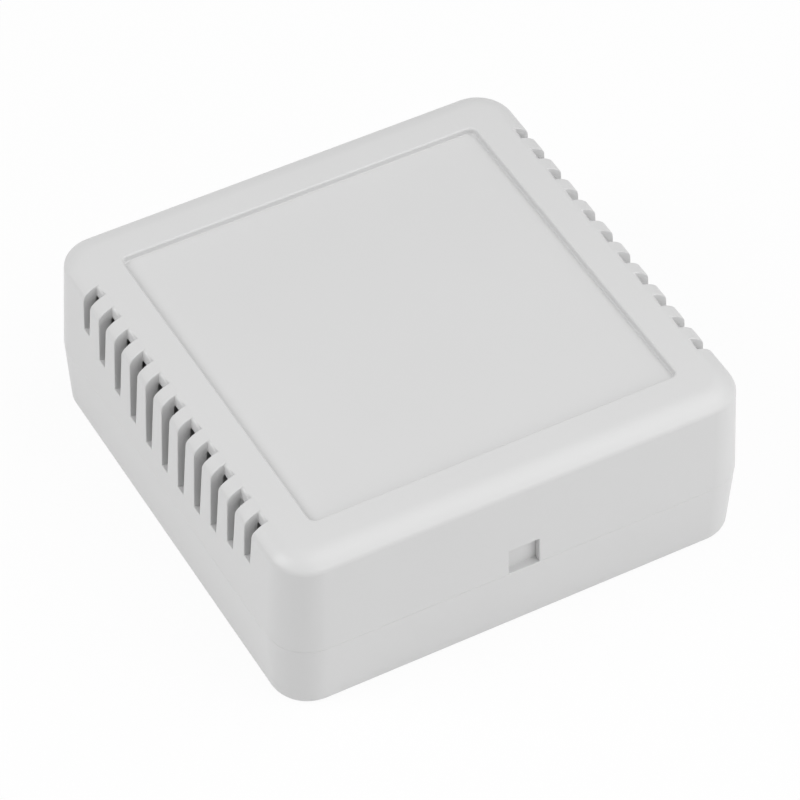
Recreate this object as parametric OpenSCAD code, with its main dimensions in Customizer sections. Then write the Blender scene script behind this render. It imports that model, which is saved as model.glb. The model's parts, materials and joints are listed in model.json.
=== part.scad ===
// Square snap-fit sensor case in two moulded shells.
// The base is a tray with a lip, and the vented cover clips over that lip.
// The base stands on z = 0, centred on the origin, and the front, with the pry notch, faces -Y.

/* [Case] */
// Width across the vented sides, at the parting line
case_w = 71; // [60:0.5:100]
// Depth from the notched front to the back, at the parting line
case_d = 71; // [60:0.5:100]
// Height of the closed case
case_h = 27; // [25:0.5:40]
// Height of the base, up to the parting line
base_h = 11; // [9:0.5:13]
// Thickness of the side walls
wall = 2; // [1.8:0.1:2.6]
// Thickness of the base's floor
floor_t = 2; // [1.5:0.1:3]
// Thickness of the cover's top around the label recess
roof_t = 2.2; // [1.8:0.1:3]
// Radius of the upright corners at the parting line
corner_r = 6.1; // [5.5:0.1:8]
// Radius of the wide curve that bends the cover's top down to its sides
crown_r = 4.45; // [3.5:0.05:6]
// Radius of the tight curve between the crown and the sides
brow_r = 1.3; // [0.8:0.1:2]
// How far the middle of the brow's curve lies below the top
brow_drop = 2.2; // [2:0.1:2.8]
// Radius of the round along the base's bottom edge
foot_r = 0.8; // [0.2:0.1:1]
// Lean of the cover's sides towards the top, in degrees
cover_lean = 2.75; // [0.5:0.25:3.5]
// Lean of the base's sides towards the bottom, in degrees
base_lean = 3.5; // [0.5:0.25:4.5]

/* [Vents] */
// Distance from one slot to the next
slot_pitch = 4.72; // [4:0.02:7]
// Width of a slot at its sill
slot_w = 1.6; // [1:0.1:2]
// Lean of a slot's two sides, which open upwards, in degrees
slot_lean = 2; // [0:0.25:2.5]
// Distance from the cover's widest line to the slots' inner end on the top
slot_reach = 2.8; // [2.2:0.1:4]
// Room kept between the outermost slot's middle and the start of the corner
slot_margin = 4; // [2:0.25:10]
// Height of the middle slot's sill above the base's lip
sill_clear = 0.5; // [0.3:0.1:3]
// How much higher the outermost slots start than the middle one
sill_rise = 4.9; // [1:0.1:6]

/* [Label recess] */
// Distance from the cover's widest line to the recess
label_margin = 7.9; // [6.5:0.05:20]
// Depth of the recess
label_depth = 1; // [0.3:0.1:1.2]
// Radius of the recess's corners
label_r = 1; // [0.5:0.1:5]

/* [Lip and catches] */
// Height of the base's lip above the parting line
lip_h = 3.3; // [2.6:0.1:5]
// Thickness of the cover's rim outside the lip
rim_t = 1.05; // [0.7:0.05:1.1]
// Clearance between the lip and the cover
lip_gap = 0.1; // [0.05:0.05:0.2]
// Length of a catch bead
catch_l = 8; // [4:0.5:14]
// Radius of a catch bead
catch_r = 0.5; // [0.3:0.05:0.6]
// How far a catch bead stands out of the lip
catch_proud = 0.3; // [0.15:0.05:0.4]
// Height of the catch beads above the parting line
catch_z = 1.8; // [1.2:0.1:2.2]
// Distance from the case's side to the middle of a catch bead
catch_inset = 19; // [12:0.5:24]
// Width of the pry notch in the cover's front rim
notch_w = 4.6; // [3:0.1:8]
// Height of the pry notch above the parting line
notch_h = 4.2; // [2:0.1:6]

/* [Fixings] */
// Distance from the case's sides to the board pillars and the wall screws
fixing_inset = 10.5; // [9:0.5:20]
// Diameter of a board pillar
pillar_d = 5.5; // [4.5:0.1:7]
// Height of a board pillar above the floor
pillar_h = 6; // [3:0.5:9]
// Diameter of the pilot hole in a board pillar
pilot_d = 2.2; // [1.6:0.1:3]
// Depth of the pilot hole
pilot_depth = 5; // [2.5:0.5:8]
// Diameter of a wall screw hole in the floor
screw_d = 4.2; // [3:0.1:6]

/* [Hidden] */
$fn = 96;
shell_colour = "gainsboro";
// Radius of the shells' inside edges
inner_r = 0.4;
// How far a cut runs past the face that it opens
past = 1;
// How much larger a round is drawn, so that it crosses the faces that it blends into
hair = 0.001;
cover_h = case_h - base_h;
// Heights of the cover's ceiling and of the rebate for the lip, above the parting line
ceiling_z = cover_h - roof_t;
rebate_h = lip_h + lip_gap;
// Depth of the tray below the parting line
tray_d = base_h - floor_t;
lip_inset = rim_t + lip_gap;
// Depth of the pry notch, to the front face of the lip at the lip's top
notch_d = lip_inset + lip_h * tan(cover_lean);
straight_x = case_w / 2 - corner_r;
straight_y = case_d / 2 - corner_r;
fixing_x = case_w / 2 - fixing_inset;
fixing_y = case_d / 2 - fixing_inset;
// Slots on each side of the middle one, as many as the straight part of the wall takes
slot_steps = floor((straight_y - slot_margin) / slot_pitch);
vent_half = slot_steps * slot_pitch;
// Radius of the arc that the sills follow
sill_arc_r = (vent_half * vent_half + sill_rise * sill_rise) / (2 * sill_rise);

// Height of a slot's sill above the parting line, on an arc through the middle and outermost sills
function sill_at(y) = lip_h + sill_clear + sill_arc_r - sqrt(sill_arc_r * sill_arc_r - y * y);

// Width of a slot at a height above its sill
function slot_w_at(rise) = slot_w + 2 * rise * tan(slot_lean);

// Half section of the cover's outside on the parting line: a side that leans in, a tight brow and a wide crown
module cover_section() {
    brow_z = cover_h - brow_drop;
    brow = [corner_r - brow_z * tan(cover_lean) - brow_r / cos(cover_lean), brow_z];
    crown_z = cover_h - crown_r;
    crown = [brow.x - sqrt(pow(crown_r - brow_r, 2) - pow(brow_z - crown_z, 2)), crown_z];
    side = brow + brow_r * [cos(cover_lean), sin(cover_lean)];
    join = crown + crown_r * (brow - crown) / (crown_r - brow_r);
    polygon([[0, 0], [corner_r, 0], side, join, [crown.x, cover_h], [0, cover_h]]);
    translate(brow) circle(r = brow_r + 2 * hair);
    intersection() {
        translate(crown) circle(r = crown_r + hair);
        polygon([[0, crown.y], crown, 2 * join - crown, [0, 2 * cover_h]]);
    }
}

// Half section of a plainer form on the parting line: the side leans in and its far edge is round
module half_section(inset, rise, lean, round_r) {
    reach = corner_r - inset;
    round_z = rise - round_r;
    round_x = reach - round_z * tan(lean) - round_r / cos(lean);
    meet = [round_x + round_r * cos(lean), round_z + round_r * sin(lean)];
    polygon([[0, 0], [reach, 0], meet, [round_x, rise], [0, rise]]);
    intersection() {
        translate([round_x, round_z]) circle(r = round_r + hair);
        square([reach, rise + past]);
    }
}

// Solid form above the parting line: a core with the given half section carried round it
module shell_form(rise) {
    translate([-straight_x, -straight_y, 0]) cube([2 * straight_x, 2 * straight_y, rise]);
    for (turn = [0, 180])
        rotate([0, 0, turn]) {
            translate([-straight_x, straight_y, 0])
                rotate([90, 0, 90])
                    linear_extrude(2 * straight_x) children();
            translate([straight_x, straight_y, 0])
                rotate([90, 0, 0])
                    linear_extrude(2 * straight_y) children();
        }
    for (mx = [0, 1], my = [0, 1])
        mirror([mx, 0, 0])
            mirror([0, my, 0])
                translate([straight_x, straight_y, 0])
                    rotate_extrude(angle = 90) children();
}

// Upright rounded block of the case's plan, inset from the parting line
module plan_block(height, inset) {
    linear_extrude(height) rounded_plan(case_w - 2 * inset, case_d - 2 * inset, corner_r - inset);
}

// Rectangle with round corners, centred on the origin
module rounded_plan(w, d, r) {
    square([w - 2 * r, d], center = true);
    square([w, d - 2 * r], center = true);
    for (mx = [0, 1], my = [0, 1])
        mirror([mx, 0, 0])
            mirror([0, my, 0])
                translate([w / 2 - r, d / 2 - r]) quarter_disc(r);
}

// Quarter of a disc, in the corner of +X and +Y
module quarter_disc(r) {
    intersection() {
        circle(r = r);
        square(2 * r);
    }
}

// Bars along the front and back of the lip: the base's catch beads, or the cover's grooves for them
module catch_bars(r) {
    face_y = case_d / 2 - lip_inset - catch_z * tan(cover_lean);
    for (x = [-1, 1], y = [-1, 1])
        translate([x * (case_w / 2 - catch_inset), y * (face_y + catch_proud - catch_r), catch_z])
            rotate([0, 90, 0]) cylinder(r = r, h = catch_l + 2 * (r - catch_r), center = true);
}

// One vent slot at a place along the wall, cut in from the +X side
module vent_slot(y) {
    low = sill_at(y);
    high = cover_h + past;
    low_half = slot_w_at(0) / 2;
    high_half = slot_w_at(high - low) / 2;
    translate([case_w / 2 - slot_reach, y, 0])
        rotate([90, 0, 90])
            linear_extrude(slot_reach + past)
                polygon([[-low_half, low], [low_half, low], [high_half, high], [-high_half, high]]);
}

// Vent slots of both sides
module vents() {
    for (side = [0, 1])
        mirror([side, 0, 0])
            for (step = [-slot_steps : slot_steps]) vent_slot(step * slot_pitch);
}

// Shallow recess in the top that takes a label
module label_recess() {
    translate([0, 0, cover_h - label_depth])
        linear_extrude(label_depth + past)
            rounded_plan(case_w - 2 * label_margin, case_d - 2 * label_margin, label_r);
}

// Notch through the front rim, where a blade reaches the lip
module pry_notch() {
    translate([-notch_w / 2, -case_d / 2 - past, -past])
        cube([notch_w, notch_d + past, notch_h + past]);
}

// Vented cover
module cover() {
    color(shell_colour)
        translate([0, 0, base_h])
            difference() {
                shell_form(cover_h) cover_section();
                shell_form(ceiling_z) half_section(wall, ceiling_z, cover_lean, inner_r);
                shell_form(rebate_h) half_section(rim_t, rebate_h, cover_lean, inner_r / 2);
                catch_bars(catch_r + lip_gap);
                vents();
                label_recess();
                pry_notch();
            }
}

// Places of the four board pillars
module at_pillars() {
    for (x = [-1, 1], y = [-1, 1])
        translate([x * fixing_x, y * fixing_y, 0]) children();
}

// Hangs a form down from the parting line
module hang_down() {
    translate([0, 0, base_h]) mirror([0, 0, 1]) children();
}

// Tray with its lip, open at the top
module tray() {
    difference() {
        union() {
            hang_down() shell_form(base_h) half_section(0, base_h, base_lean, foot_r);
            translate([0, 0, base_h]) shell_form(lip_h) half_section(lip_inset, lip_h, cover_lean, inner_r);
            translate([0, 0, base_h]) catch_bars(catch_r);
        }
        hang_down() shell_form(tray_d) half_section(wall, tray_d, base_lean, inner_r);
        translate([0, 0, base_h]) plan_block(lip_h + past, wall);
    }
}

// Base with its board pillars and wall screw holes
module base() {
    color(shell_colour)
        difference() {
            union() {
                tray();
                at_pillars() translate([0, 0, floor_t / 2]) cylinder(d = pillar_d, h = floor_t / 2 + pillar_h);
            }
            at_pillars()
                translate([0, 0, floor_t + pillar_h - pilot_depth])
                    cylinder(d = pilot_d, h = pilot_depth + past);
            for (x = [-1, 1])
                translate([x * fixing_x, 0, -past]) cylinder(d = screw_d, h = floor_t + 2 * past);
        }
}

base();
cover();
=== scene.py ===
"""Looks of a vented snap-fit sensor case: two moulded shells of light grey plastic, on a white floor."""

import json
import logging
import math
from dataclasses import dataclass, field
from enum import IntEnum
from typing import Any, ClassVar

import bmesh
import bpy
import numpy as np
from mathutils import Matrix, Vector

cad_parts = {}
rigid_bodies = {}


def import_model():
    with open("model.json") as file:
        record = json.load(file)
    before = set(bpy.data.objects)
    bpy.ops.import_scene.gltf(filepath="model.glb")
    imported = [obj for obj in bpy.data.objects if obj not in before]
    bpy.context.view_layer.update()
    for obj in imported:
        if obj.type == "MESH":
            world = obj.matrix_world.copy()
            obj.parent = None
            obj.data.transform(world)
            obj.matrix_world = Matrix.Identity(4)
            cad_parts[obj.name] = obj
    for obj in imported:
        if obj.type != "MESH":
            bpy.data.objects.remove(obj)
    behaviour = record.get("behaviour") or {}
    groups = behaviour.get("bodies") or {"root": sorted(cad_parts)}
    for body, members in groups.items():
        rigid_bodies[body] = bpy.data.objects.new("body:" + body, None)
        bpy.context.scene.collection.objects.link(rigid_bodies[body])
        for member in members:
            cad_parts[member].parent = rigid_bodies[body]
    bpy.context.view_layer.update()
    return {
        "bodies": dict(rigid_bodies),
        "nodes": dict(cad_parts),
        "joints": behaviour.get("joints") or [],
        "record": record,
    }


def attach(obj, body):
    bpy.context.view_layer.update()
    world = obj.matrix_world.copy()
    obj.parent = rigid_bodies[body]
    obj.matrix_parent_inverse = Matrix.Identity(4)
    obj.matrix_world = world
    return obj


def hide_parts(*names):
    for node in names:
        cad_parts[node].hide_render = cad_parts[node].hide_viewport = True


log = logging.getLogger("sensor_case")
MM = 0.001
# Slack of comparisons between sizes in mm
TINY = 1e-6
# Numbers of the Mix node's colour sockets, whose names its other kinds share
MIX_FACTOR, MIX_FIRST, MIX_SECOND, MIX_RESULT = 0, 6, 7, 2


class Wire:
    """A shader value that takes part in Python arithmetic: each operator adds a Math node."""

    def __init__(self, socket: bpy.types.NodeSocket) -> None:
        """Keeps the socket that gives the value."""
        self.socket = socket

    def _math(self, operation: str, first: "Wire | float", second: "Wire | float") -> "Wire":
        """Adds a Math node.

        Args:
            operation: The Math node's operation.
            first: Its first number or Wire.
            second: Its second number or Wire.

        Returns:
            The node's result.
        """
        node = self.socket.id_data.nodes.new("ShaderNodeMath")
        node.operation = operation
        for slot, value in zip(node.inputs, (first, second)):
            if isinstance(value, Wire):
                self.socket.id_data.links.new(value.socket, slot)
            else:
                slot.default_value = value
        return Wire(node.outputs[0])

    def __add__(self, other: "Wire | float") -> "Wire":
        """Sum."""
        return self._math("ADD", self, other)

    def __sub__(self, other: "Wire | float") -> "Wire":
        """Difference."""
        return self._math("SUBTRACT", self, other)

    def __rsub__(self, other: "Wire | float") -> "Wire":
        """Difference, from the right."""
        return self._math("SUBTRACT", other, self)

    def __mul__(self, other: "Wire | float") -> "Wire":
        """Product."""
        return self._math("MULTIPLY", self, other)

    __radd__ = __add__
    __rmul__ = __mul__


class Graph:
    """A node tree that grows by one method."""

    def __init__(self, tree: bpy.types.NodeTree) -> None:
        """Empties the tree."""
        self.tree = tree
        tree.nodes.clear()

    def node(self, kind: str, settings: dict[str, Any] | None = None,
             sockets: dict[str | int, Any] | None = None) -> bpy.types.Node:
        """Adds any node.

        Args:
            kind: The node's type, without its ShaderNode prefix.
            settings: The node's own properties, set first.
            sockets: Values or Wires of its inputs, by name or number.

        Returns:
            The new node.
        """
        node = self.tree.nodes.new("ShaderNode" + kind)
        for name, value in (settings or {}).items():
            setattr(node, name, value)
        for key, value in (sockets or {}).items():
            if isinstance(value, Wire):
                self.tree.links.new(value.socket, node.inputs[key])
            else:
                node.inputs[key].default_value = value
        return node

    def wire(self, kind: str, output: str | int, settings: dict[str, Any] | None = None,
             sockets: dict[str | int, Any] | None = None) -> Wire:
        """Adds any node and gives one of its outputs.

        Args:
            kind: The node's type, without its ShaderNode prefix.
            output: The output's name or number.
            settings: The node's own properties.
            sockets: Values or Wires of its inputs.

        Returns:
            The output as a Wire.
        """
        return Wire(self.node(kind, settings, sockets).outputs[output])


def grey(value: float) -> tuple[float, float, float, float]:
    """A neutral colour of that linear brightness."""
    return (value, value, value, 1.0)


@dataclass(frozen=True)
class MouldedPlastic:
    """Light grey plastic with the fine even grain of an eroded mould."""

    name: str
    tone: float = 0.66
    tone_spread: float = 0.012
    roughness: float = 0.4
    roughness_spread: float = 0.03
    ior: float = 1.5
    grain_per_m: float = 5200.0
    grain_detail: float = 3.0
    grain_depth: float = 0.012 * MM
    grain_strength: float = 0.2
    wave_per_m: float = 45.0
    wave_detail: float = 2.0
    wave_share: float = 0.7
    noise_middle: float = 0.5

    def make(self) -> bpy.types.Material:
        """Builds the material: a wide wave and a fine grain vary its tone and shine, and the grain lifts it.

        Returns:
            The material, on Object coordinates.
        """
        material = bpy.data.materials.new(self.name)
        material.use_nodes = True
        graph = Graph(material.node_tree)
        place = graph.wire("TexCoord", "Object")
        grain = graph.wire("TexNoise", "Fac", None, {
            "Vector": place, "Scale": self.grain_per_m, "Detail": self.grain_detail})
        wave = graph.wire("TexNoise", "Fac", None, {
            "Vector": place, "Scale": self.wave_per_m, "Detail": self.wave_detail})
        tint = graph.wire("Mix", MIX_RESULT, {"data_type": "RGBA"}, {
            MIX_FACTOR: wave * self.wave_share + grain * (1.0 - self.wave_share),
            MIX_FIRST: grey(self.tone - self.tone_spread),
            MIX_SECOND: grey(self.tone + self.tone_spread)})
        bump = graph.wire("Bump", "Normal", None, {
            "Strength": self.grain_strength, "Distance": self.grain_depth, "Height": grain})
        shine = ((grain - self.noise_middle) * self.roughness_spread
                 + (wave - self.noise_middle) * self.roughness_spread + self.roughness)
        shader = graph.wire("BsdfPrincipled", "BSDF", None, {
            "Base Color": tint, "Roughness": shine, "IOR": self.ior, "Normal": bump})
        graph.node("OutputMaterial", None, {"Surface": shader})
        return material


class Patchwork:
    """Grids of points and flat outlines that are welded into one closed skin with rounded edges."""

    WELD: ClassVar[float] = 1e-5
    SHARP: ClassVar[float] = math.radians(60)
    STEPS: ClassVar[int] = 4

    def __init__(self) -> None:
        """Starts with no patches."""
        self.points: list[np.ndarray] = []
        self.rounds: list[np.ndarray] = []
        self.faces: list[np.ndarray] = []
        self.softened: list[tuple[np.ndarray, float]] = []
        self.count = 0

    def _store(self, points: np.ndarray, rounding: float | np.ndarray) -> np.ndarray:
        """Keeps points with the edge radius that each asks for.

        Args:
            points: Points with x, y and z on the last axis, in mm.
            rounding: One radius, or one for each point, in mm.

        Returns:
            The points' numbers, in the shape of the points.
        """
        shape = points.shape[:-1]
        numbers = self.count + np.arange(math.prod(shape)).reshape(shape)
        self.points.append(points.reshape(-1, 3))
        self.rounds.append(np.broadcast_to(rounding, shape).ravel())
        self.count += numbers.size
        return numbers

    def grid(self, points: np.ndarray, rounding: float | np.ndarray,
             keep: np.ndarray | None = None, closed: bool = False) -> None:
        """Adds a skin of quads over a grid of points.

        Args:
            points: Rows by columns of points, in mm.
            rounding: Radius of the sharp edges at the points, in mm.
            keep: Which cells are skinned; all of them if left out.
            closed: Whether the last column joins the first.
        """
        numbers = self._store(points, rounding)
        if closed:
            numbers = np.concatenate([numbers, numbers[:, :1]], axis=1)
        quads = np.stack([numbers[:-1, :-1], numbers[:-1, 1:], numbers[1:, 1:], numbers[1:, :-1]], axis=-1)
        self.faces.append(quads.reshape(-1, 4) if keep is None else quads[keep])

    def outlines(self, points: np.ndarray, rounding: float | np.ndarray) -> None:
        """Adds flat faces by their outlines.

        Args:
            points: Faces by corners of points, in mm.
            rounding: Radius of the sharp edges at the points, in mm.
        """
        self.faces.append(self._store(points, rounding))

    def soften(self, ends: np.ndarray, rounding: float) -> None:
        """Gives single edges a radius of their own.

        Args:
            ends: Edges by two ends of points, in mm.
            rounding: The edges' radius, in mm.
        """
        self.softened.append((self._store(ends, 0.0), rounding))

    def build(self, name: str) -> bpy.types.Object:
        """Welds the patches and rounds every edge that bends by more than SHARP, by its ends' larger radius.

        Args:
            name: The piece's name.

        Returns:
            The piece's object, with its rounding as modifiers.
        """
        points = np.concatenate(self.points)
        keys = np.round(points / self.WELD).astype(np.int64)
        _, first, back = np.unique(keys, axis=0, return_index=True, return_inverse=True)
        back = back.ravel()
        radius = np.zeros(len(first))
        np.maximum.at(radius, back, np.concatenate(self.rounds))
        faces = [face for part in self.faces for face in back[part].tolist()]
        mesh = bpy.data.meshes.new(name)
        mesh.from_pydata((points[first] * MM).tolist(), [], faces)
        shell = bmesh.new()
        shell.from_mesh(mesh)
        bmesh.ops.recalc_face_normals(shell, faces=shell.faces)
        shell.to_mesh(mesh)
        shell.free()
        mesh.shade_smooth()
        weights = self._edge_radii(mesh, radius)
        pair_code = np.array([len(first), 1])
        codes = np.sort(self._edge_ends(mesh), axis=1) @ pair_code
        for ends, rounding in self.softened:
            weights[np.isin(codes, np.sort(back[ends], axis=1) @ pair_code)] = rounding
        widest = float(weights.max())
        mesh.attributes.new("bevel_weight_edge", "FLOAT", "EDGE").data.foreach_set(
            "value", (weights / widest).astype(np.float32))
        piece = bpy.data.objects.new(name, mesh)
        bpy.context.scene.collection.objects.link(piece)
        bevel = piece.modifiers.new("rounded_edges", "BEVEL")
        bevel.limit_method = "WEIGHT"
        bevel.width = widest * MM
        bevel.segments = self.STEPS
        bevel.use_clamp_overlap = False
        piece.modifiers.new("even_normals", "WEIGHTED_NORMAL")
        return piece

    def _edge_ends(self, mesh: bpy.types.Mesh) -> np.ndarray:
        """Reads the mesh's edges.

        Args:
            mesh: The welded mesh.

        Returns:
            Edges by their two vertices.
        """
        ends = np.empty(len(mesh.edges) * 2, np.int32)
        mesh.edges.foreach_get("vertices", ends)
        return ends.reshape(-1, 2)

    def _edge_radii(self, mesh: bpy.types.Mesh, radius: np.ndarray) -> np.ndarray:
        """Finds the sharp edges of the closed skin: the angle between the normals of an edge's two faces.

        Args:
            mesh: The welded mesh.
            radius: Edge radius that each vertex asks for.

        Returns:
            Each edge's radius, 0 where its two faces meet smoothly.
        """
        loop_edges = np.empty(len(mesh.loops), np.int32)
        mesh.loops.foreach_get("edge_index", loop_edges)
        totals = np.empty(len(mesh.polygons), np.int32)
        mesh.polygons.foreach_get("loop_total", totals)
        normals = np.empty(len(mesh.polygons) * 3)
        mesh.polygons.foreach_get("normal", normals)
        if np.any(np.bincount(loop_edges, minlength=len(mesh.edges)) != 2):
            raise ValueError(f"the skin of {mesh.name} isn't closed")
        face_of_loop = np.repeat(np.arange(len(totals)), totals)
        faces_of_edge = face_of_loop[np.argsort(loop_edges, kind="stable")].reshape(-1, 2)
        sides = normals.reshape(-1, 3)[faces_of_edge]
        bend = np.arccos(np.clip((sides[:, 0] * sides[:, 1]).sum(axis=1), -1, 1))
        return np.where(bend > self.SHARP, radius[self._edge_ends(mesh)].max(axis=1), 0.0)


class SlotEdge(IntEnum):
    """Which edge of a slot a column stands on, by its y."""

    LOW = -1
    NONE = 0
    HIGH = 1


@dataclass(frozen=True)
class Ring:
    """Columns round the case's plan: each stands on an axis point and reaches outwards from it."""

    axis: np.ndarray
    out: np.ndarray
    side: np.ndarray

    @classmethod
    def around(cls, straight: float, ys: np.ndarray, back_xs: np.ndarray, front_xs: np.ndarray,
               slot_edges: np.ndarray, corner_steps: int = 12) -> "Ring":
        """Goes round the plan, seen from above against the clock, from the right side's front end.

        On a side the columns reach out at a right angle to it, and round a corner they turn by a quarter.

        Args:
            straight: Half the length of the plan's straight sides.
            ys: Places of the columns on the right and left sides, rising.
            back_xs: Places of the columns on the back, rising.
            front_xs: Places of the columns on the front, rising.
            slot_edges: The SlotEdge of each of ys.
            corner_steps: Steps in each corner.

        Returns:
            The ring.
        """
        quarter = math.pi / 2
        turn = np.linspace(0, quarter, corner_steps + 1)[1:-1]
        plain_back, plain_front = (np.full(len(xs), SlotEdge.NONE) for xs in (back_xs, front_xs))
        runs = [(np.column_stack([np.full_like(ys, straight), ys]), slot_edges),
                (np.column_stack([back_xs[::-1], np.full_like(back_xs, straight)]), plain_back),
                (np.column_stack([np.full_like(ys, -straight), ys[::-1]]), slot_edges[::-1]),
                (np.column_stack([front_xs, np.full_like(front_xs, -straight)]), plain_front)]
        axis, angle, side = [], [], []
        for corner, (places, edges) in enumerate(runs):
            start = corner * quarter
            axis += [places, np.repeat(places[-1:], len(turn), axis=0)]
            angle += [np.full(len(places), start), start + turn]
            side += [edges, np.full(len(turn), SlotEdge.NONE)]
        angles = np.concatenate(angle)
        out = np.column_stack([np.cos(angles), np.sin(angles)])
        return cls(np.concatenate(axis), out, np.concatenate(side))

    def carry(self, reach: np.ndarray, height: np.ndarray, half_slot: np.ndarray,
              share: float = 1.0) -> np.ndarray:
        """Carries a section round the ring.

        Point = (axis point, moved along by half a slot at the slots' edges) x share + reach outwards.

        Args:
            reach: How far each point stands out from its axis point, rows by columns.
            height: Height of each point, rows by columns.
            half_slot: Half the slots' width at each point.
            share: How much of the axis rectangle is used.

        Returns:
            Rows by columns of points.
        """
        reach, height, half_slot = np.broadcast_arrays(reach, height, half_slot)
        along = self.axis[None, :, :] + np.stack([np.zeros_like(half_slot), self.side * half_slot], axis=-1)
        flat = along * share + reach[..., None] * self.out
        return np.concatenate([flat, height[..., None]], axis=-1)


@dataclass
class Cover:
    """The vented cover: leaning sides, a crowned top edge, slots that wrap over it and a label recess on top.

    Sizes are in mm and angles in radians. Heights of sills, notch and grooves count from the parting line.
    """

    finish: MouldedPlastic
    straight: float = 29.4
    corner: float = 6.1
    parting: float = 11.0
    top: float = 27.0
    lean_angle: float = math.radians(2.75)
    brow: float = 1.3
    brow_drop: float = 2.2
    crown: float = 4.45
    wall: float = 2.0
    roof: float = 2.2
    inner_round: float = 0.4
    rim: float = 1.05
    rebate: float = 3.4
    slot_pitch: float = 4.72
    slot_steps: int = 5
    slot_width: float = 1.6
    slot_lean: float = math.tan(math.radians(2.0))
    slot_end: float = 3.3
    slot_end_lead: float = 0.6
    sill_low: float = 3.8
    sill_rise: float = 4.9
    recess_half: float = 27.6
    recess_corner: float = 1.0
    recess_depth: float = 1.0
    notch_half: float = 2.3
    notch_height: float = 4.2
    notch_depth: float = 1.3085
    groove_middle: float = 16.5
    groove_half: float = 4.1
    groove_radius: float = 0.6
    groove_reach: float = 4.6635
    groove_height: float = 1.8
    groove_points: int = 6
    fan_drop: float = 1.5
    ceiling_lead: float = 1.0
    slot_round: float = 0.15
    slot_end_round: float = 0.45
    recess_round: float = 0.3
    recess_foot: float = 0.22
    notch_round: float = 0.18
    parting_round: float = 0.08
    inside_round: float = 0.06

    # Rows of the outside: foot, the notch's top, sill, the climb, the brow, the crown to the slots' end, cap
    NOTCH_TOP_ROW: ClassVar[int] = 1
    SILL_ROW: ClassVar[int] = 2
    CLIMB: ClassVar[int] = 3
    BROW_POINTS: ClassVar[int] = 7
    CROWN_POINTS: ClassVar[int] = 5
    CAP_POINTS: ClassVar[int] = 3
    END_ROW: ClassVar[int] = SILL_ROW + CLIMB + BROW_POINTS + CROWN_POINTS - 1
    # Rows of the inside: foot, two of the groove, four of the rebate's bend, shelf, then sill to slots' end
    GROOVE_ROW: ClassVar[int] = 1
    NOTCH_BACK_ROW: ClassVar[int] = 5
    IN_SILL_ROW: ClassVar[int] = 8
    IN_END_ROW: ClassVar[int] = IN_SILL_ROW + END_ROW - SILL_ROW

    @property
    def lean(self) -> float:
        """How far the sides lean in for each mm of height."""
        return math.tan(self.lean_angle)

    def half_slot(self, height: np.ndarray, sill: np.ndarray) -> np.ndarray:
        """Half of a slot's width at a height above the parting line; it widens upwards from its sill."""
        return self.slot_width / 2 + (height - sill) * self.slot_lean

    def ring(self) -> tuple[Ring, np.ndarray]:
        """Lays out the columns: the slots' edges, the notch's sides and the catch grooves' ends.

        Returns:
            The ring, and the sill's height at each column, on an arc through the middle and outermost sills.
        """
        middles = np.arange(-self.slot_steps, self.slot_steps + 1) * self.slot_pitch
        ys = np.concatenate([[-self.straight], np.repeat(middles, 2), [self.straight]])
        slot_edges = np.tile([SlotEdge.LOW, SlotEdge.HIGH], len(middles))
        edges = np.concatenate([[SlotEdge.NONE], slot_edges, [SlotEdge.NONE]])
        ends = np.array([-self.straight, self.straight])
        grooves = np.array([-1, -1, 1, 1]) * self.groove_middle + np.array([-1, 1, -1, 1]) * self.groove_half
        front = np.sort(np.concatenate([ends, grooves, [-self.notch_half, self.notch_half]]))
        back = np.sort(np.concatenate([ends, grooves]))
        ring = Ring.around(self.straight, ys, back, front, edges)
        far = self.slot_steps * self.slot_pitch
        arc = (far ** 2 + self.sill_rise ** 2) / (2 * self.sill_rise)
        along = np.where(ring.side != SlotEdge.NONE, ring.axis[:, 1], far)
        return ring, self.sill_low + arc - np.sqrt(arc ** 2 - along ** 2)

    def outer_rows(self, sill: np.ndarray) -> tuple[np.ndarray, np.ndarray]:
        """Section of the outside: leaning side, tight brow, wide crown with a row at the slots' inner end.

        On the side, reach = corner - height x lean. The brow and the crown are arcs, centre + radius x cosine
        and sine of the turn. The brow touches the side, and the crown touches the brow and the flat top.

        Args:
            sill: Height of the sill at each column.

        Returns:
            Reach and height above the parting line, rows by columns.
        """
        rise = self.top - self.parting
        brow_z = rise - self.brow_drop
        brow_x = self.corner - brow_z * self.lean - self.brow / math.cos(self.lean_angle)
        crown_z = rise - self.crown
        crown_x = brow_x - math.sqrt((self.crown - self.brow) ** 2 - (brow_z - crown_z) ** 2)
        join = math.atan2(brow_z - crown_z, brow_x - crown_x)
        end = math.acos((self.slot_end - crown_x) / self.crown)
        tight = np.linspace(self.lean_angle, join, self.BROW_POINTS)
        near_end = end - self.slot_end_lead / self.crown
        wide = np.concatenate([np.linspace(join, near_end, self.CROWN_POINTS)[1:],
                               np.linspace(end, math.pi / 2, self.CAP_POINTS)])
        # Below a sill the low row is at half of its height, and elsewhere at the notch's top
        low = np.where(sill < self.sill_low + self.sill_rise - TINY, sill / 2, self.notch_height)
        climb = (brow_z - sill) / self.CLIMB
        side = np.stack([np.zeros_like(sill), low, sill, sill + climb, sill + 2 * climb])
        curve_x = np.concatenate([brow_x + self.brow * np.cos(tight), crown_x + self.crown * np.cos(wide)])
        curve_z = np.concatenate([brow_z + self.brow * np.sin(tight), crown_z + self.crown * np.sin(wide)])
        spread = np.ones_like(sill)
        return (np.concatenate([self.corner - side * self.lean, np.outer(curve_x, spread)]),
                np.concatenate([side, np.outer(curve_z, spread)]))

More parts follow.
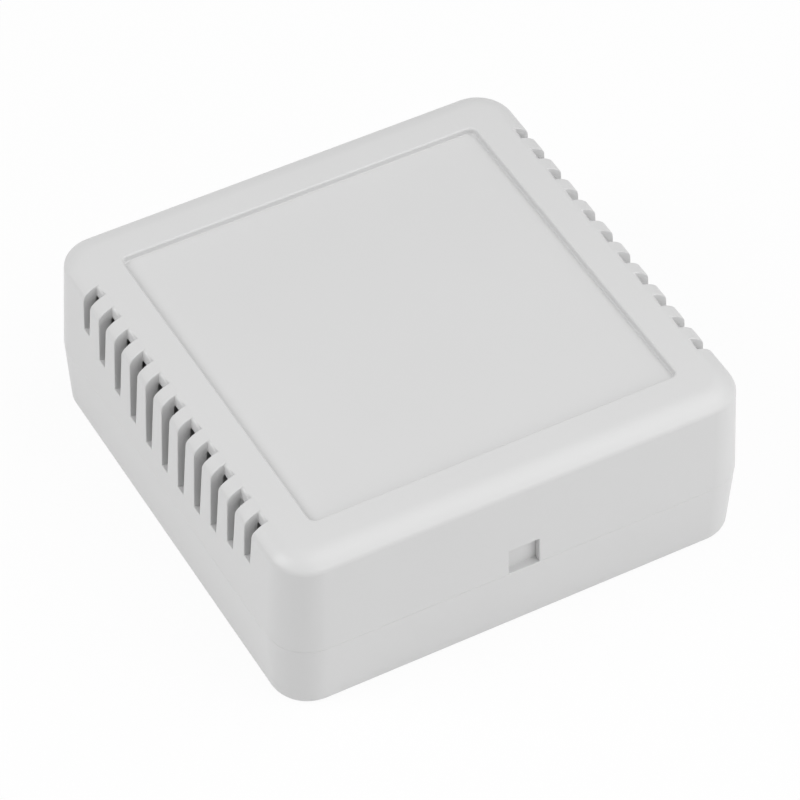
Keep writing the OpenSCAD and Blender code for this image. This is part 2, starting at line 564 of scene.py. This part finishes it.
    def inner_rows(self, sill: np.ndarray) -> tuple[np.ndarray, np.ndarray]:
        """Section of the inside: the rebate for the lip, its shelf, the hollow's wall and the ceiling's edge.

        The walls lean as the outside does, and the rebate bends into its shelf by an arc. From the sill to
        the slots' inner end it has as many rows as the outside, most in a fan below the ceiling's edge.

        Args:
            sill: Height of the sill at each column.

        Returns:
            Reach and height above the parting line, rows by columns.
        """
        small = self.inner_round / 2
        rim_x = self.corner - self.rim
        turn_z = self.rebate - small
        turn_x = rim_x - turn_z * self.lean - small / math.cos(self.lean_angle)
        back = math.acos((self.corner - self.notch_depth - turn_x) / small)
        bends = np.array([self.lean_angle, (self.lean_angle + back) / 2, back, math.pi / 2])
        groove = self.groove_span()
        wall_x = self.corner - self.wall
        ceiling = self.top - self.parting - self.roof
        edge_z = ceiling - self.inner_round
        bend = self.slot_end - (wall_x - edge_z * self.lean - self.inner_round)
        end_z = edge_z + math.sqrt(self.inner_round ** 2 - bend ** 2)
        low_z = np.concatenate([[0.0], groove, turn_z + small * np.sin(bends), [self.rebate]])
        low_x = np.concatenate([[rim_x], rim_x - groove * self.lean, turn_x + small * np.cos(bends),
                                [wall_x - self.rebate * self.lean]])
        spread = np.ones_like(sill)
        fan_rows = self.END_ROW - self.SILL_ROW - self.CLIMB
        fan = np.outer(np.linspace(edge_z - self.fan_drop, edge_z, fan_rows), spread)
        step = (fan[0] - sill) / self.CLIMB
        climb = np.concatenate([[sill, sill + step, sill + 2 * step], fan])
        end_x = [self.slot_end, self.slot_end - self.ceiling_lead]
        wall = wall_x - climb * self.lean
        return (np.concatenate([np.outer(low_x, spread), wall, np.outer(end_x, spread)]),
                np.concatenate([np.outer(low_z, spread), climb, np.outer([end_z, ceiling], spread)]))

    def groove_span(self) -> np.ndarray:
        """Heights where a catch groove's circle crosses the rebate's leaning wall: a quadratic's two roots.

        Returns:
            The lower and the upper height.
        """
        gap = self.corner - self.rim - self.groove_reach
        square = 1 + self.lean ** 2
        middle = (gap * self.lean + self.groove_height) / square
        spare = (gap ** 2 + self.groove_height ** 2 - self.groove_radius ** 2) / square
        half = math.sqrt(middle ** 2 - spare)
        return np.array([middle - half, middle + half])

    def build(self) -> bpy.types.Object:
        """Skins the cover: outside, top, inside, rim, and the linings of its slots, notch and grooves.

        Returns:
            The cover's object.
        """
        ring, sill = self.ring()
        reach, height = self.outer_rows(sill)
        outer = ring.carry(reach, height + self.parting, self.half_slot(height, sill))
        in_reach, in_height = self.inner_rows(sill)
        inner = ring.carry(in_reach, in_height + self.parting, self.half_slot(in_height, sill))
        x, y = ring.axis.T
        low, high = (np.flatnonzero(ring.side == edge) for edge in (SlotEdge.LOW, SlotEdge.HIGH))
        slots = np.where(x[low] > 0, low, high)
        notch = int(np.flatnonzero((y < 0) & np.isclose(x, -self.notch_half))[0])
        groove_end = np.isclose(np.abs(np.abs(x) - self.groove_middle), self.groove_half)
        grooves = np.flatnonzero((np.abs(y) > self.straight - TINY) & groove_end)
        patches = Patchwork()
        self.add_outside(patches, outer, slots, notch)
        self.add_top(patches, ring, sill, outer[-1])
        self.add_inside(patches, inner, slots, notch, grooves[::2])
        rim_keep = np.arange(outer.shape[1])[None] != notch
        patches.grid(np.stack([outer[0], inner[0]]), self.parting_round, rim_keep, closed=True)
        self.add_slots(patches, outer[self.SILL_ROW:self.END_ROW + 1],
                       inner[self.IN_SILL_ROW:self.IN_END_ROW + 1], slots)
        self.add_notch(patches, outer[:self.NOTCH_TOP_ROW + 1, notch:notch + 2],
                       inner[:self.NOTCH_BACK_ROW + 1, notch:notch + 2])
        self.add_grooves(patches, inner[self.GROOVE_ROW, grooves].reshape(-1, 2, 3))
        return patches.build("vented_cover")

    def add_outside(self, patches: Patchwork, outer: np.ndarray, slots: np.ndarray, notch: int) -> None:
        """Adds the sides and the crown, open at the slots and at the notch.

        Args:
            patches: The cover's patches.
            outer: Outer points, rows by columns.
            slots: Columns of the slots' first edges.
            notch: Column of the notch's first side.
        """
        keep = np.ones((len(outer) - 1, outer.shape[1]), bool)
        keep[self.SILL_ROW:self.END_ROW, slots] = False
        keep[:self.NOTCH_TOP_ROW, notch] = False
        rounding = np.full(outer.shape[:2], self.parting_round)
        rounding[self.NOTCH_TOP_ROW, notch:notch + 2] = self.notch_round
        rounding[self.SILL_ROW:self.END_ROW + 1] = self.slot_round
        patches.grid(outer, rounding, keep, closed=True)

    def add_inside(self, patches: Patchwork, inner: np.ndarray, slots: np.ndarray, notch: int,
                   grooves: np.ndarray) -> None:
        """Adds the rebate, the hollow and its ceiling, open at the slots, the notch and the catch grooves.

        Args:
            patches: The cover's patches.
            inner: Inner points, rows by columns.
            slots: Columns of the slots' first edges.
            notch: Column of the notch's first side.
            grooves: Columns of the grooves' first ends.
        """
        keep = np.ones((len(inner) - 1, inner.shape[1]), bool)
        keep[self.IN_SILL_ROW:self.IN_END_ROW, slots] = False
        keep[:self.NOTCH_BACK_ROW, notch] = False
        keep[self.GROOVE_ROW, grooves] = False
        patches.grid(inner, self.inside_round, keep, closed=True)
        patches.outlines(inner[-1][None], self.inside_round)

    def add_top(self, patches: Patchwork, ring: Ring, sill: np.ndarray, crown_edge: np.ndarray) -> None:
        """Adds the flat top and the label recess, down to its floor.

        Args:
            patches: The cover's patches.
            ring: The cover's columns.
            sill: Height of the sill at each column.
            crown_edge: Points where the crown meets the flat top.
        """
        columns = np.ones(len(ring.side))
        share = (self.recess_half - self.recess_corner) / self.straight
        half = self.half_slot(self.top - self.parting, sill)
        brink = ring.carry(self.recess_corner * columns[None], np.array(self.top), half, share)
        floor = brink - [0, 0, self.recess_depth]
        rounding = np.outer([0.0, self.recess_round, self.recess_foot], columns)
        patches.grid(np.concatenate([crown_edge[None], brink, floor]), rounding, closed=True)
        patches.outlines(floor, self.recess_foot)

    def add_slots(self, patches: Patchwork, outer: np.ndarray, inner: np.ndarray, slots: np.ndarray) -> None:
        """Adds the slots' linings: two side walls, a sill and an end wall, ruled from outside to inside.

        Args:
            patches: The cover's patches.
            outer: Outer points, from the sill's row to the slots' inner end.
            inner: Inner points of the same rows.
            slots: Columns of the slots' first edges.
        """
        for column in slots:
            loop = np.concatenate([outer[:, column], outer[::-1, column + 1], outer[:1, column]])
            lining = np.concatenate([inner[:, column], inner[::-1, column + 1], inner[:1, column]])
            patches.grid(np.stack([loop, lining]), self.slot_round)
        patches.soften(np.stack([outer[-1, slots], outer[-1, slots + 1]], axis=1), self.slot_end_round)

    def add_notch(self, patches: Patchwork, outer: np.ndarray, inner: np.ndarray) -> None:
        """Adds the pry notch's ceiling, back and two sides.

        Args:
            patches: The cover's patches.
            outer: Outer points at the notch's two sides, at the parting line and at its top.
            inner: Rebate points at its two sides, from the parting line to the notch's back.
        """
        back_edge = inner[-1].copy()
        back_edge[:, 2] = outer[1, :, 2]
        rounding = np.outer([self.notch_round, self.inside_round, self.inside_round], np.ones(2))
        patches.grid(np.stack([outer[1], back_edge, inner[-1]]), rounding)
        sides = np.concatenate([outer, back_edge[None], inner[::-1]])
        patches.outlines(sides.swapaxes(0, 1), self.inside_round)

    def add_grooves(self, patches: Patchwork, edges: np.ndarray) -> None:
        """Adds the catch grooves in the rebate: arcs of a circle along the groove, and flat ends.

        Args:
            patches: The cover's patches.
            edges: Grooves by the two ends of their lower edge.
        """
        gap = self.corner - self.rim - self.groove_reach
        start, stop = (math.atan2(z - self.groove_height, gap - z * self.lean) for z in self.groove_span())
        bend = np.linspace(start, stop, self.groove_points)
        depth = self.straight + self.groove_reach + self.groove_radius * np.cos(bend)
        height = self.parting + self.groove_height + self.groove_radius * np.sin(bend)
        for ends in edges:
            arc = np.empty((len(bend), 2, 3))
            arc[..., 0] = ends[:, 0]
            arc[..., 1] = np.sign(ends[0, 1]) * depth[:, None]
            arc[..., 2] = height[:, None]
            patches.grid(arc, self.inside_round / 2)
            patches.outlines(arc.swapaxes(0, 1), self.inside_round / 2)

    def dress(self, piece: bpy.types.Object) -> None:
        """Gives the cover its finish and its place in the frame.

        Args:
            piece: The cover's object.
        """
        piece.data.materials.append(self.finish.make())
        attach(piece, "cover")
        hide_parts("cover")


@dataclass
class Shell:
    """One moulded shell of the case, shown by its CAD node."""

    node: str
    slot: str
    finish: MouldedPlastic
    edge_round: float = 0.08 * MM
    edge_steps: int = 3
    sharp_angle: float = math.radians(40)
    flat_angle: float = math.radians(0.1)
    weld_gap: float = 1e-6

    def build(self, frame: dict[str, Any]) -> bpy.types.Object:
        """Rounds the shell's sharp edges, after its triangles are welded and its flat faces joined.


        Returns:
            The shell's object.
        """
        piece = frame["nodes"][self.node]
        weld = piece.modifiers.new("weld", "WELD")
        weld.merge_threshold = self.weld_gap
        flatten = piece.modifiers.new("flatten", "DECIMATE")
        flatten.decimate_type = "DISSOLVE"
        flatten.angle_limit = self.flat_angle
        bevel = piece.modifiers.new("round", "BEVEL")
        bevel.width = self.edge_round
        bevel.segments = self.edge_steps
        bevel.limit_method = "ANGLE"
        bevel.angle_limit = self.sharp_angle
        bevel.use_clamp_overlap = False
        piece.modifiers.new("normals", "WEIGHTED_NORMAL")
        return piece

    def dress(self, piece: bpy.types.Object) -> None:
        """Gives the shell its finish.

        Args:
            piece: The shell's object.
        """
        piece.data.materials.clear()
        piece.data.materials.append(self.finish.make())


@dataclass
class SoftBox:
    """A square studio light that faces the case.

    Its bearing goes from the front towards the right, and its height is an angle too, both in degrees.
    """

    name: str
    bearing: float
    height: float
    watts: float
    size: float = 0.5
    distance: float = 0.6

    def build(self) -> bpy.types.Object:
        """Hangs the light.

        Returns:
            The light's object.
        """
        data = bpy.data.lights.new(self.name, "AREA")
        data.shape = "SQUARE"
        data.size = self.size
        data.energy = self.watts
        lamp = bpy.data.objects.new(self.name, data)
        turn, rise = math.radians(self.bearing), math.radians(self.height)
        direction = Vector((math.sin(turn) * math.cos(rise),
                            -math.cos(turn) * math.cos(rise), math.sin(rise)))
        lamp.location = direction * self.distance
        lamp.rotation_euler = direction.to_track_quat("Z", "Y").to_euler()
        bpy.context.scene.collection.objects.link(lamp)
        return lamp


@dataclass
class Viewpoint:
    """The camera at the photograph's viewing angle: angles in radians, target, distance and lens in mm."""

    azimuth: float = -0.508265
    elevation: float = 0.806294
    roll: float = 0.006064
    target: tuple[float, float, float] = (-0.7729, -2.7349, 13.5)
    distance: float = 616.121
    lens: float = 203.3073
    sensor: float = 36.0

    def build(self) -> bpy.types.Object:
        """Stands the camera up.

        Returns:
            The camera's object.
        """
        back = Vector((math.sin(self.azimuth) * math.cos(self.elevation),
                       -math.cos(self.azimuth) * math.cos(self.elevation), math.sin(self.elevation)))
        level = (-back).cross(Vector((0, 0, 1))).normalized()
        upright = level.cross(-back)
        right = math.cos(self.roll) * level + math.sin(self.roll) * upright
        up = -math.sin(self.roll) * level + math.cos(self.roll) * upright
        data = bpy.data.cameras.new("camera")
        data.sensor_width = self.sensor
        data.lens = self.lens
        camera = bpy.data.objects.new("camera", data)
        camera.matrix_world = Matrix((right, up, back)).transposed().to_4x4()
        camera.location = Vector(self.target) * MM + back * (self.distance * MM)
        bpy.context.scene.collection.objects.link(camera)
        bpy.context.scene.camera = camera
        return camera


@dataclass
class Studio:
    """White floor, pale surroundings, soft boxes and the camera."""

    ambient: float = 0.378
    floor_half: float = 4.0
    floor_gap: float = 0.05 * MM
    floor_tone: float = 0.88
    floor_glow: float = 0.93
    hole_half: float = 33.6 * MM
    hole_corner: float = 4.4 * MM
    hole_points: int = 9
    viewpoint: Viewpoint = field(default_factory=Viewpoint)
    lamps: list[SoftBox] = field(default_factory=lambda: [
        SoftBox("front_box", 10, 12, 0.4),
        SoftBox("front_right_box", 45, 12, 0.56),
        SoftBox("front_high_box", 25, 36, 0.48),
        SoftBox("right_box", 60, 62, 1.26),
        SoftBox("left_box", 255, 42, 1.36, size=0.3),
        SoftBox("back_right_box", 120, 62, 0.07)])

    def seen(self, graph: Graph) -> Wire:
        """1 for the rays that show a thing, straight, in gloss or through glass, and 0 for those that light.

        Args:
            graph: The tree that asks.

        Returns:
            The value.
        """
        path = graph.node("LightPath")
        return sum(Wire(path.outputs[f"Is {kind} Ray"]) for kind in ("Camera", "Glossy", "Transmission"))

    def build_world(self) -> None:
        """Surrounds the case with plain white that gives less light than it shows."""
        world = bpy.data.worlds.new("studio_white")
        bpy.context.scene.world = world
        world.use_nodes = True
        graph = Graph(world.node_tree)
        strength = self.seen(graph) * (1.0 - self.ambient) + self.ambient
        light = graph.wire("Background", 0, None, {"Color": grey(1.0), "Strength": strength})
        graph.node("OutputWorld", None, {"Surface": light})

    def floor_mesh(self) -> bpy.types.Mesh:
        """Works out the floor: a ring from a rounded square under the case out to a large square.

        Point of the opening = a corner's centre + the corner radius x cosine and sine of the turn. Each point
        of the outer square lies on the ray from the middle through a point of the opening.

        Returns:
            The floor's mesh.
        """
        quarters = np.arange(4)[:, None] * math.pi / 2
        angle = (quarters + np.linspace(0, math.pi / 2, self.hole_points)).ravel()
        middle = np.repeat(quarters + math.pi / 4, self.hole_points)
        centre = (self.hole_half - self.hole_corner) * math.sqrt(2)
        hole = (centre * np.column_stack([np.cos(middle), np.sin(middle)])
                + self.hole_corner * np.column_stack([np.cos(angle), np.sin(angle)]))
        edge = hole * self.floor_half / np.abs(hole).max(axis=1, keepdims=True)
        flat = np.concatenate([edge, hole])
        points = np.column_stack([flat, np.full(len(flat), -self.floor_gap)])
        here = np.arange(len(hole))
        after = np.roll(here, -1)
        quads = np.column_stack([here, after, after + len(hole), here + len(hole)])
        mesh = bpy.data.meshes.new("studio_floor")
        mesh.from_pydata(points.tolist(), [], quads.tolist())
        return mesh

    def floor_finish(self) -> bpy.types.Material:
        """Makes the floor's finish: matt white that shows near to pure white, and clear from below.

        Returns:
            The floor's material.
        """
        material = bpy.data.materials.new("studio_floor")
        material.use_nodes = True
        graph = Graph(material.node_tree)
        matt = graph.wire("BsdfDiffuse", 0, None, {"Color": grey(self.floor_tone)})
        glow = graph.wire("Emission", 0, None, {"Color": grey(1.0), "Strength": 1.0})
        above = graph.wire("MixShader", 0, None, {0: self.seen(graph) * self.floor_glow, 1: matt, 2: glow})
        below = graph.wire("BsdfTransparent", 0)
        from_below = graph.wire("NewGeometry", "Backfacing")
        mixed = graph.wire("MixShader", 0, None, {0: from_below, 1: above, 2: below})
        graph.node("OutputMaterial", None, {"Surface": mixed})
        return material

    def build_floor(self) -> bpy.types.Object:
        """Lays the floor: white, with a soft shadow, open under the case so that the underside shows.

        Returns:
            The floor's object.
        """
        floor = bpy.data.objects.new("studio_floor", self.floor_mesh())
        bpy.context.scene.collection.objects.link(floor)
        floor.data.materials.append(self.floor_finish())
        return floor

    def build(self) -> None:
        """Sets the whole studio up."""
        bpy.context.scene.view_settings.view_transform = "Standard"
        self.build_world()
        self.build_floor()
        self.viewpoint.build()
        for lamp in self.lamps:
            lamp.build()


def main() -> None:
    """Builds the case's looks, piece by piece, and the studio around them."""
    logging.basicConfig(level=logging.INFO, format="%(name)s: %(message)s")
    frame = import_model()
    base = Shell("base", "base_plastic", MouldedPlastic("base_plastic"))
    base_piece = base.build(frame)
    base.dress(base_piece)
    cover = Cover(MouldedPlastic("cover_plastic"))
    cover_piece = cover.build()
    cover.dress(cover_piece)
    for piece in (base_piece, cover_piece):
        log.info("%s has %d faces before rounding", piece.name, len(piece.data.polygons))
    studio = Studio()
    studio.build()
    log.info("the studio has a floor, a camera and %d soft boxes", len(studio.lamps))


if __name__ == "__main__":
    main()
